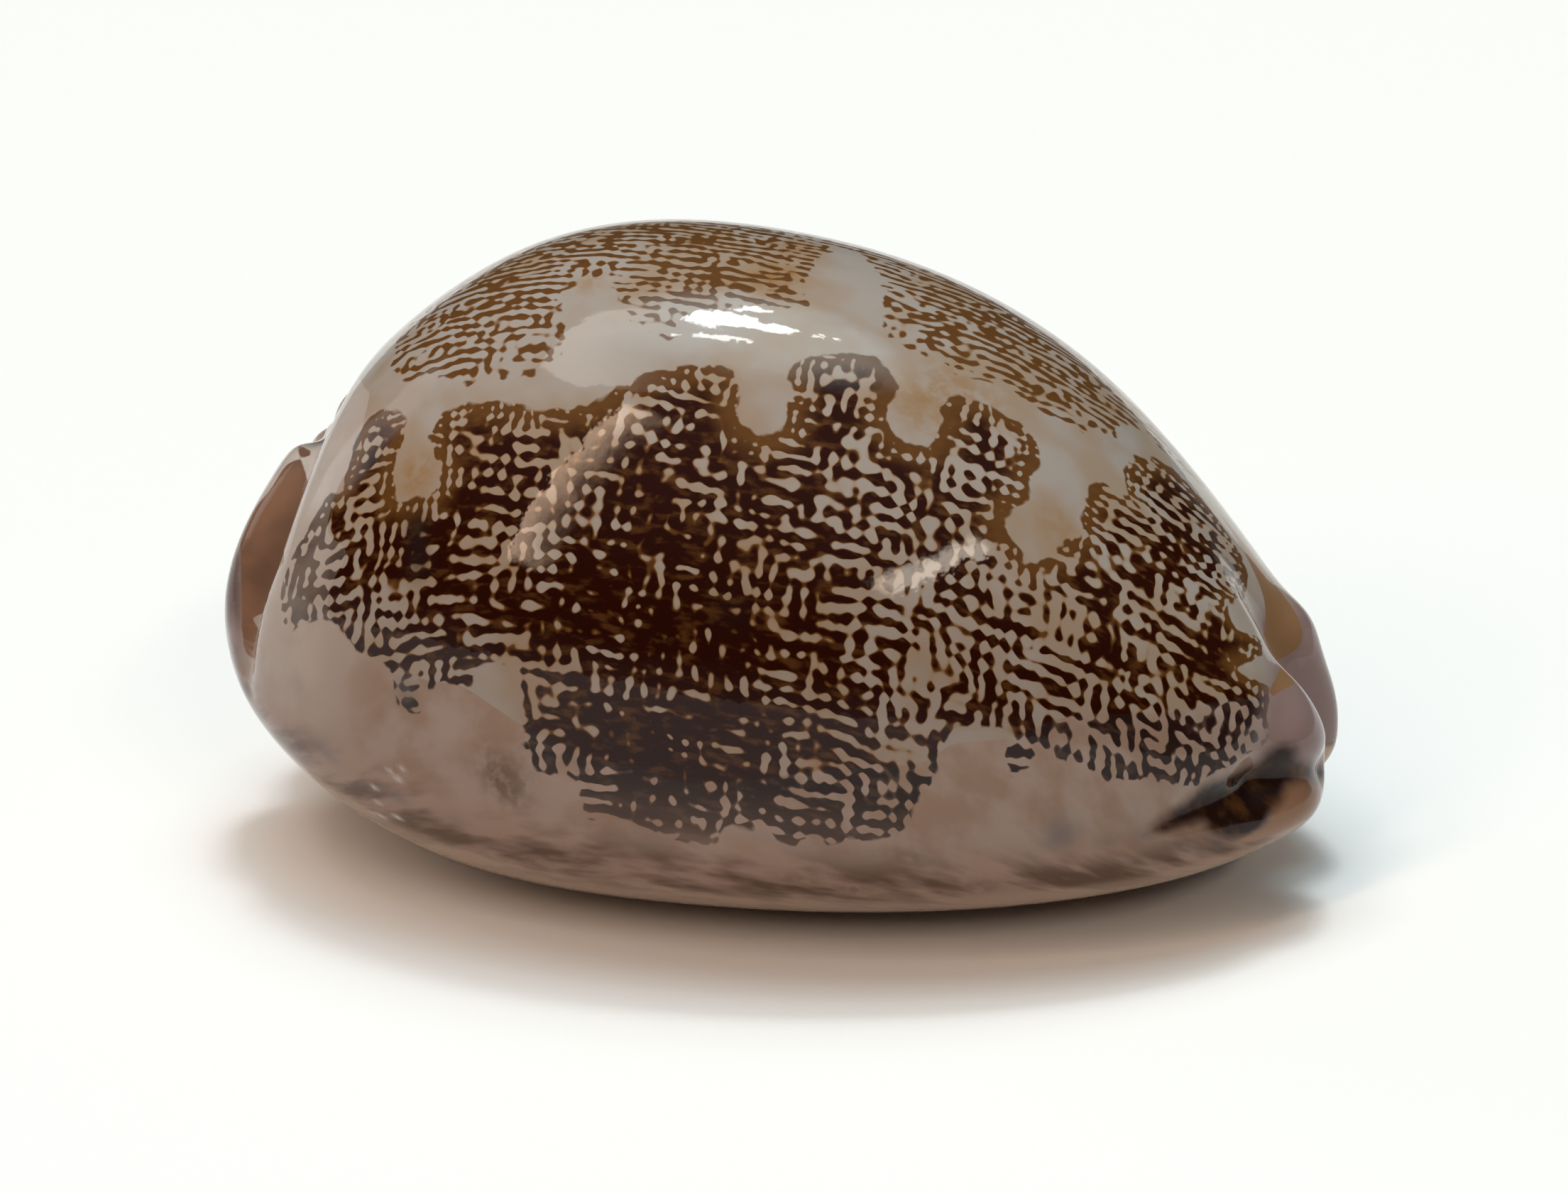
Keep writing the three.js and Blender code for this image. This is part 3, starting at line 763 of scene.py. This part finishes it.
class NodeBoard:
    """Short ways to add and join shader nodes."""

    def __init__(self, name):
        self.material = bpy.data.materials.new(name)
        self.material.use_nodes = True
        self.tree = self.material.node_tree
        self.tree.nodes.clear()

    def add(self, kind, inputs=None, **settings):
        node = self.tree.nodes.new(kind)
        for key, value in settings.items():
            setattr(node, key, value)
        for key, value in (inputs or {}).items():
            self.put(node.inputs[key], value)
        return node

    def put(self, socket, value):
        if isinstance(value, bpy.types.NodeSocket):
            self.tree.links.new(value, socket)
        else:
            socket.default_value = value

    def mark(self, name):
        return self.add("ShaderNodeAttribute", attribute_name=name).outputs["Fac"]

    def capped_mark(self, name):
        return self.math("MINIMUM", self.mark(name), 1.0)

    def times(self, first, second):
        return self.math("MULTIPLY", first, second)

    def centred(self, noise):
        return self.math("SUBTRACT", noise, 0.5)

    def math(self, operation, first, second=0.0, third=0.0):
        node = self.add("ShaderNodeMath", operation=operation)
        for socket, value in zip(node.inputs, (first, second, third)):
            self.put(socket, value)
        return node.outputs[0]

    def ease(self, value, low, high, start=0.0, end=1.0):
        node = self.add("ShaderNodeMapRange", interpolation_type="SMOOTHSTEP")
        numbers = {"Value": value, "From Min": low, "From Max": high, "To Min": start, "To Max": end}
        for key, number in numbers.items():
            self.put(node.inputs[key], number)
        return node.outputs[0]

    def mix(self, share, first, second, blend="MIX"):
        node = self.add("ShaderNodeMix", data_type="RGBA", blend_type=blend)
        self.put(node.inputs["Factor"], share)
        for socket, value in ((node.inputs[6], first), (node.inputs[7], second)):
            self.put(socket, value)
        return node.outputs[2]

    def scaled(self, amount, tint):
        node = self.add("ShaderNodeVectorMath", operation="SCALE")
        node.inputs[0].default_value = tint
        self.put(node.inputs["Scale"], amount)
        return node.outputs[0]

    def vector(self, x, y, z=0.0):
        node = self.add("ShaderNodeCombineXYZ")
        for socket, value in zip(node.inputs, (x, y, z)):
            self.put(socket, value)
        return node.outputs[0]

    def noise(self, vector, scale, detail, roughness=0.5):
        inputs = {"Vector": vector, "Scale": scale, "Detail": detail, "Roughness": roughness}
        return self.add("ShaderNodeTexNoise", inputs).outputs["Fac"]

    def gabor(self, vector, scale, frequency, anisotropy, orientation):
        inputs = {"Vector": vector, "Scale": scale, "Frequency": frequency, "Anisotropy": anisotropy}
        node = self.add("ShaderNodeTexGabor", inputs, gabor_type="2D")
        node.inputs["Orientation 2D"].default_value = orientation
        return node.outputs["Value"]


def colour(value):
    return (*value, 1.0)


def labyrinth(board, cues, fineness, darkness, banks):
    """Lines that run lengthwise and crosswise and break into each other: the sum of two Gabor noises
    with stripes at right angles and a blotchy noise, each less its middle. Above 0 is a line. A bank
    is its lengthwise squeeze, direction, weight, evenness and place."""
    blotches = board.centred(board.noise(cues.flat, *LINE_BLOTCHES))
    level = board.math("MULTIPLY_ADD", blotches, LINE_BLOTCH_WEIGHT, darkness)
    for squeeze, turn, weight, evenness, place in banks:
        squeezed = board.vector(board.times(cues.along, squeeze), board.math("ADD", cues.around, place))
        bent = board.add("ShaderNodeVectorMath", operation="MULTIPLY_ADD")
        board.put(bent.inputs[0], cues.bend)
        bent.inputs[1].default_value = (1.0, 1.0, 0.0)
        board.put(bent.inputs[2], squeezed)
        stripes = board.gabor(bent.outputs[0], STRIPE_SCALE, fineness, evenness, turn)
        level = board.math("MULTIPLY_ADD", board.centred(stripes), weight, level)
    return level


def enamel_cues(board):
    """What the enamel's parts share: places in millimetres, the skin's marks and the soft noises."""
    millimetres = board.add("ShaderNodeVectorMath", operation="SCALE")
    board.put(millimetres.inputs[0], board.add("ShaderNodeTexCoord").outputs["Object"])
    millimetres.inputs["Scale"].default_value = 1 / MM
    place = millimetres.outputs[0]
    along, around = board.mark("along"), board.mark("around")
    flat = board.vector(along, around)
    bend = board.add("ShaderNodeTexNoise", {"Vector": flat, "Scale": 0.4, "Detail": 1.5})
    signed_turn = board.mark("turn")
    mottle = board.ease(board.noise(flat, *MOTTLE), 0.35, 0.6, 0.35, 1.0)
    return SimpleNamespace(
        place=place, along=along, around=around, flat=flat, signed_turn=signed_turn,
        bend=bend.outputs["Color"],
        turn=board.math("ABSOLUTE", signed_turn),
        girth=board.mark("girth"),
        cloud=board.noise(place, *CLOUD),
        blotch=board.noise(place, *BLOTCH),
        murk=board.noise(flat, *MURK),
        scallops=board.centred(board.noise(flat, *SCALLOPS)),
        ochre=board.times(board.capped_mark("ochre"), mottle),
    )


def pattern_lines(board, cues):
    """The lines of both fields: inked is how much of a point is line, deep how dark it is, brown how
    far it stays brown near a field's edge, and tan the stain beside it. Noise scallops the edges."""
    upper = board.math("MULTIPLY_ADD", cues.scallops, UPPER_SCALLOPING, board.mark("upper_field"))
    lower = board.math("MULTIPLY_ADD", cues.scallops, LOWER_SCALLOPING, board.mark("lower_field"))
    in_upper = board.math("GREATER_THAN", upper, lower)
    in_field = board.ease(board.math("MAXIMUM", upper, lower), *FIELD_EDGE)
    high_side = board.ease(cues.signed_turn, *HIGH_SIDE_ROUND)
    fringe = board.times(board.ease(lower, *FRINGE), high_side)
    rim = board.times(board.ease(lower, *FIELD_RIM), high_side)

    patches = board.times(board.math("SUBTRACT", board.noise(cues.flat, *PATCHES), 0.45), 0.30)
    low_darkness = board.math("MULTIPLY_ADD", board.mark("darker"), 0.13, patches)
    low_darkness = board.math("MULTIPLY_ADD", fringe, 0.02, low_darkness)
    low_darkness = board.math("MULTIPLY_ADD", rim, 0.06, low_darkness)
    fineness = board.math("MULTIPLY_ADD", fringe, 1.0, LOWER_FINENESS)
    low_level = labyrinth(board, cues, fineness, low_darkness, LOWER_BANKS)
    high_darkness = board.math("MULTIPLY_ADD", board.ease(upper, *UPPER_DEEPENING), 0.05, -0.035)
    high_darkness = board.math("MULTIPLY_ADD", patches, 0.5, high_darkness)
    high_level = labyrinth(board, cues, UPPER_FINENESS, high_darkness, UPPER_BANKS)
    step = board.math("SUBTRACT", high_level, low_level)
    level = board.math("MULTIPLY_ADD", step, in_upper, low_level)

    soft = board.math("MULTIPLY_ADD", in_upper, 0.016, 0.010)
    streaks = board.noise(board.vector(board.times(cues.along, 0.45), cues.around), *STREAKS)
    core = board.math("MULTIPLY_ADD", in_upper, -0.025, 0.05)
    near_edge = board.times(board.ease(lower, *BROWN_EDGE), board.times(high_side, 0.8))
    blurred = board.times(in_upper, board.ease(upper, *BLURRED_EDGE, 0.0, 0.85))
    stained = board.math("MULTIPLY_ADD", board.ease(high_darkness, 0.0, 0.10), 0.45, 0.45)
    tan = board.times(board.ease(level, -0.05, 0.0), stained)
    return SimpleNamespace(
        inked=board.times(board.ease(level, board.times(soft, -1.0), soft), in_field),
        deep=board.times(board.ease(level, 0.0, core), board.ease(streaks, 0.30, 0.50, 0.5, 1.0)),
        brown=board.math("MAXIMUM", near_edge, blurred),
        tan=board.times(tan, in_field),
    )


def back_colour(board, cues, lines, paint):
    """The back: a silvery ground with warm clouds and ochre stains, and the brown lines on it."""
    silver = board.math("ADD", cues.cloud, board.times(board.centred(cues.blotch), 0.6))
    ground = board.mix(board.ease(silver, 0.38, 0.62), paint.ground, paint.ground_warm)
    ground = board.mix(board.times(cues.ochre, 0.9), ground, paint.tan)
    line = board.mix(lines.deep, paint.line_edge, paint.line)
    line = board.mix(lines.brown, line, paint.line_edge)
    return board.mix(lines.inked, board.mix(lines.tan, ground, paint.tan), line)


def callus_colour(board, cues, lines, paint):
    """What shows through the callus: a greyed ground and greyed lines, frosted at the spire end."""
    ground = board.mix(board.ease(cues.murk, 0.35, 0.65), paint.callus, paint.callus_warm)
    ground = board.mix(board.times(cues.ochre, 0.85), ground, paint.margin_spot)
    line = board.mix(lines.deep, paint.callus_edge, paint.callus_line)
    frost = board.times(board.ease(cues.girth, *FROST_GIRTH), board.ease(cues.signed_turn, *FROST_ROUND))
    frost = board.times(frost, board.ease(cues.murk, 0.3, 0.6, 0.55, 1.0))
    ground = board.mix(frost, ground, paint.frost)
    line = board.mix(board.times(frost, 0.75), line, paint.frost_line)
    return board.mix(lines.inked, ground, line)


def with_margin(board, cues, paint, tint):
    """The tint darkened down the sides by painted shade, then the blotched margin, its grey spots and the
    base.
    """
    # Painted shade down the sides, multiplied into the tint
    shade = board.times(board.ease(cues.turn, *PAINTED_SIDE_SHADE_ROUND), 0.55)
    tint = board.mix(shade, tint, paint.shade, "MULTIPLY")
    stretched = board.vector(board.times(cues.along, 0.35), cues.around)
    blots = board.ease(board.noise(stretched, *LONG_BLOTS), 0.40, 0.62, 0.0, 0.95)
    blots = board.times(blots, board.ease(cues.turn, *BLOTS_ROUND, 0.3, 1.0))
    margin = board.mix(board.math("MAXIMUM", blots, cues.ochre), paint.margin, paint.margin_spot)
    tint = board.mix(board.ease(cues.turn, *MARGIN_ROUND), tint, margin)
    tint = board.mix(board.times(board.capped_mark("greyed"), 0.75), tint, paint.grey_spot)
    return board.mix(board.ease(cues.turn, *FLESH_ROUND), tint, paint.base)


def with_ends(board, cues, paint, tint):
    """The mauve rims of both ends, the traced marks on them, the dark stain and small pale painted glints.
    """
    spire, front = board.ease(cues.girth, *SPIRE_RIM_GIRTH), board.ease(cues.girth, *FRONT_RIM_GIRTH)
    rims = board.times(board.math("MAXIMUM", spire, front), board.ease(cues.turn, *RIM_ROUND))
    to_front = board.ease(cues.girth, *PALER_GIRTH, 0.0, 0.8)
    paler = board.math("MAXIMUM", board.ease(cues.blotch, 0.45, 0.65), to_front)
    tint = board.mix(rims, tint, board.mix(paler, paint.rim, paint.rim_pale))
    plate = board.mix(board.ease(cues.blotch, 0.35, 0.65), paint.plate, paint.plate_dark)
    for name, nothing, full, laid in (
        ("tongue", *TONGUE_EDGE, paint.amber),
        ("plate", *PLATE_EDGE, plate),
        ("lobe", *LOBE_EDGE, paint.lobe),
    ):
        tint = board.mix(board.ease(board.mark(name), nothing, full), tint, laid)
    scalloped = board.math("MULTIPLY_ADD", cues.scallops, 0.5, board.mark("stain"))
    stain = board.ease(scalloped, *STAIN_EDGE)
    browned = board.ease(board.noise(cues.flat, *BROWNING), 0.45, 0.7, 0.0, 0.5)
    tint = board.mix(stain, tint, board.mix(browned, paint.stain, paint.line_edge))
    # Painted glints: small pale spots of reflected light on the margin
    return board.mix(board.capped_mark("painted_glints"), tint, paint.painted_glint)


def enamel_material(colours):
    """Glossy enamel: the patterned back, the callus over its lower part, the margin and base, the
    ends, the teeth and the chamber, under a clear coat."""
    board = NodeBoard("enamel")
    names = ShellColours.__annotations__
    paint = SimpleNamespace(**{name: colour(getattr(colours, name)) for name in names})
    cues = enamel_cues(board)
    lines = pattern_lines(board, cues)
    back = back_colour(board, cues, lines, paint)
    callus = board.ease(board.mark("callus"), *CALLUS_SOFTNESS)
    tint = board.mix(callus, back, callus_colour(board, cues, lines, paint))
    # Dark slate patches, and painted shade in the crevice at the spire end
    tint = board.mix(board.times(board.capped_mark("dark_patch_and_crevice_shade"), 0.85), tint, paint.dark_patch_and_crevice_shade)
    tint = with_ends(board, cues, paint, with_margin(board, cues, paint, tint))
    tint = board.mix(board.mark("tooth"), tint, paint.tooth)
    tint = board.mix(board.ease(board.mark("zone"), *CHAMBER_ZONES), tint, paint.chamber)
    unevenness = board.noise(cues.place, *UNEVENNESS)
    bump = board.add("ShaderNodeBump", {"Strength": 0.04, "Distance": 0.0004, "Height": unevenness})
    shader = board.add("ShaderNodeBsdfPrincipled", {
        "Base Color": tint,
        "Roughness": 0.35,
        "IOR": 1.5,
        "Specular IOR Level": 0.0,
        "Coat Weight": 1.0,
        "Coat IOR": COAT_IOR,
        "Coat Roughness": COAT_ROUGHNESS,
        "Normal": bump.outputs[0],
        "Coat Normal": bump.outputs[0],
    })
    board.add("ShaderNodeOutputMaterial", {"Surface": shader.outputs[0]})
    return board.material


def stage_material(name, grey, roughness):
    """Matt grey with faint clouds."""
    board = NodeBoard(name)
    place = board.add("ShaderNodeTexCoord").outputs["Object"]
    cloud = board.ease(board.noise(place, 3.0, 2.0), 0.3, 0.7, 0.0, 0.1)
    shade = board.mix(cloud, colour([grey] * 3), colour([0.97 * grey] * 3))
    shader = board.add("ShaderNodeBsdfPrincipled", {"Base Color": shade, "Roughness": roughness})
    board.add("ShaderNodeOutputMaterial", {"Surface": shader.outputs[0]})
    return board.material


class WorldBoard(NodeBoard):
    """The same short ways for the world's nodes."""

    def __init__(self, name):
        self.world = bpy.data.worlds.new(name)
        self.world.use_nodes = True
        self.tree = self.world.node_tree
        self.tree.nodes.clear()

    def toward(self, direction, heading):
        node = self.add("ShaderNodeVectorMath", operation="DOT_PRODUCT")
        self.put(node.inputs[0], direction)
        node.inputs[1].default_value = Vector(heading).normalized()
        return node.outputs["Value"]


def room_light():
    """A soft studio as light from all round: a dim room, a soft light overhead, a pale skirt at the
    horizon and a few soft panels. Each panel is its strength times an eased step of the cosine to
    its heading, and an eased step for each of its gates."""
    board = WorldBoard("room")
    direction = board.add("ShaderNodeTexCoord").outputs["Generated"]
    bends = []
    for scale, detail, reach in (PANEL_WOBBLE, GATE_WOBBLE):
        bends.append(board.times(board.centred(board.noise(direction, scale, detail)), reach))
    wobble, scallops = bends
    total = colour([ROOM_GREY] * 3)
    for heading, nothing, full, strength, tint in (OVERHEAD, SKIRT):
        light = board.ease(board.toward(direction, heading), nothing, full, 0.0, strength)
        total = board.mix(1.0, total, board.scaled(light, tint), "ADD")
    for heading, edge, core, strength, tint, gates in PANELS:
        cosine = board.math("ADD", board.toward(direction, heading), wobble)
        nothing, full = math.cos(math.radians(edge)), math.cos(math.radians(core))
        panel = board.ease(cosine, nothing, full, 0.0, strength)
        for side, gate_nothing, gate_full in gates:
            cosine = board.math("ADD", board.toward(direction, side), scallops)
            panel = board.times(panel, board.ease(cosine, gate_nothing, gate_full))
        total = board.mix(1.0, total, board.scaled(panel, tint), "ADD")
    background = board.add("ShaderNodeBackground", {"Color": total, "Strength": LIGHT_STRENGTH})
    board.add("ShaderNodeOutputWorld", {"Surface": background.outputs[0]})
    return board.world


def link(name, data):
    thing = bpy.data.objects.new(name, data)
    bpy.context.scene.collection.objects.link(thing)
    return thing


class ShellSizes(bpy.types.PropertyGroup):
    rings: IntProperty(name="Rings", description="Cross sections along the shell", default=330, min=60)


def tint_property(name, description, default):
    return FloatVectorProperty(name=name, description=description, subtype="COLOR", default=default)


class ShellColours(bpy.types.PropertyGroup):
    ground: tint_property("Ground", "Pale ground of the back", (0.335, 0.295, 0.265))
    ground_warm: tint_property("Warm ground", "Warmer clouds in the ground", (0.31, 0.235, 0.175))
    line: tint_property("Line", "Dark lines of the pattern", (0.022, 0.0035, 0.001))
    line_edge: tint_property("Line edge", "Edges of lines and fields", (0.13, 0.055, 0.014))
    tan: tint_property("Tan", "Stain beside the lines", (0.27, 0.14, 0.04))
    callus: tint_property("Callus", "Greyed ground under the callus", (0.36, 0.285, 0.25))
    callus_warm: tint_property("Warm callus", "Pinker clouds in the callus", (0.30, 0.205, 0.155))
    callus_line: tint_property("Callus line", "Lines seen through the callus", (0.022, 0.009, 0.007))
    callus_edge: tint_property("Callus line edge", "Their edges", (0.09, 0.055, 0.04))
    margin: tint_property("Margin", "Margin's ground", (0.26, 0.165, 0.125))
    margin_spot: tint_property("Margin spots", "Blurred spots of the margin", (0.085, 0.042, 0.026))
    grey_spot: tint_property("Grey spots", "Blue-grey spots of the margin", (0.11, 0.095, 0.095))
    frost: tint_property("Frost", "Whitened ground at the spire end", (0.44, 0.385, 0.35))
    frost_line: tint_property("Frosted line", "Lines seen through the frost", (0.22, 0.175, 0.15))
    # Slate dark patches, and painted shade in the crevice at the spire end
    dark_patch_and_crevice_shade: tint_property("Soot", "Slate dark patches and dirt", (0.016, 0.012, 0.012))
    # Painted glints: small pale spots of reflected light on the margin
    painted_glint: tint_property("Specks", "Pale specks of the margin", (0.42, 0.39, 0.37))
    lobe: tint_property("Lobe", "Orange beige lobe of the front end", (0.25, 0.135, 0.082))
    base: tint_property("Base", "Flesh coloured base", (0.420, 0.290, 0.210))
    amber: tint_property("Amber", "Amber tongue at the front end", (0.235, 0.13, 0.065))
    plate: tint_property("Plate", "Brown plate at the spire end", (0.20, 0.105, 0.065))
    plate_dark: tint_property("Dark plate", "Its darker clouds", (0.14, 0.075, 0.05))
    rim: tint_property("Rim", "Mauve rims of both ends", (0.125, 0.082, 0.077))
    rim_pale: tint_property("Pale rim", "Paler clouds in the rims", (0.25, 0.17, 0.16))
    # Painted shade: the tint that the sides are multiplied by as they turn down
    shade: tint_property("Side shade", "How the sides darken towards the margin", (0.62, 0.52, 0.45))
    stain: tint_property("Stain", "Dark stain in the pit of the front end", (0.016, 0.006, 0.004))
    tooth: tint_property("Teeth", "Teeth", (0.42, 0.20, 0.07))
    chamber: tint_property("Chamber", "Inside of the chamber", (0.42, 0.36, 0.36))


class ShellView(bpy.types.PropertyGroup):
    azimuth: FloatProperty(
        name="Azimuth", description="How far the camera stands round to the front end",
        subtype="ANGLE", default=math.radians(12),
    )
    elevation: FloatProperty(
        name="Elevation", description="How far the camera looks down",
        subtype="ANGLE", default=math.radians(20),
    )
    distance: FloatProperty(
        name="Distance", description="From the camera to its aim", unit="LENGTH", default=0.3,
    )
    aim: FloatVectorProperty(
        name="Aim", description="Point the camera looks at",
        subtype="TRANSLATION", unit="LENGTH", default=(0.0005, -0.0004, 0.0168),
    )
    lens: FloatProperty(
        name="Lens", description="Focal length in millimetres on a 36 mm wide frame", default=104.0,
    )


class SHELL_OT_skin(bpy.types.Operator):
    """Make the shell's skin with its enamel"""

    bl_idname = "shell.skin"
    bl_label = "Shell"

    def execute(self, context):
        scene = context.scene
        skin = shell_skin(scene.shell_sizes.rings)
        centre_on_frame(skin)
        mesh = skin_mesh(skin, skin_marks(skin, scene.shell_view))
        mesh.materials.append(enamel_material(scene.shell_colours))
        piece = link("shell_skin", mesh)
        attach(piece, "root")
        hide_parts("shell")
        return {"FINISHED"}


class SHELL_OT_stage(bpy.types.Operator):
    """Make the floor, the light and the camera"""

    bl_idname = "shell.stage"
    bl_label = "Stage"

    def execute(self, context):
        scene = context.scene
        view = scene.shell_view
        eye, _, _, back = camera_place(view)
        camera = link("camera", bpy.data.cameras.new("camera"))
        camera.data.lens = view.lens
        camera.data.sensor_width = SENSOR_MM
        camera.data.clip_start = CLIP_START
        camera.location = Vector(eye * MM)
        camera.rotation_euler = Vector(back).to_track_quat("Z", "Y").to_euler()
        scene.camera = camera

        floor_mesh = bpy.data.meshes.new("floor")
        corners = [(x * FLOOR_REACH, y * FLOOR_REACH, 0) for x, y in ((-1, -1), (1, -1), (1, 1), (-1, 1))]
        floor_mesh.from_pydata(corners, [], [(0, 1, 2, 3)])
        floor_mesh.materials.append(stage_material("floor", FLOOR_GREY, FLOOR_ROUGHNESS))
        floor = link("floor", floor_mesh)

        scene.world = room_light()
        scene.view_settings.view_transform = "Standard"
        return {"FINISHED"}


class SHELL_PT_panel(bpy.types.Panel):
    """Lists the shell's operators"""

    bl_label = "Map Cowrie Shell"
    bl_idname = "SHELL_PT_panel"
    bl_space_type = "VIEW_3D"
    bl_region_type = "UI"
    bl_category = "Shell"

    def draw(self, context):
        for operator in (SHELL_OT_skin, SHELL_OT_stage):
            self.layout.operator(operator.bl_idname)


CLASSES = (ShellSizes, ShellColours, ShellView, SHELL_OT_skin, SHELL_OT_stage, SHELL_PT_panel)


def register():
    for item in CLASSES:
        bpy.utils.register_class(item)
    bpy.types.Scene.shell_sizes = PointerProperty(type=ShellSizes)
    bpy.types.Scene.shell_colours = PointerProperty(type=ShellColours)
    bpy.types.Scene.shell_view = PointerProperty(type=ShellView)


def unregister():
    for name in ("shell_sizes", "shell_colours", "shell_view"):
        delattr(bpy.types.Scene, name)
    for item in reversed(CLASSES):
        bpy.utils.unregister_class(item)


def main():
    register()
    bpy.ops.shell.skin()
    bpy.ops.shell.stage()


if __name__ == "__main__":
    main()
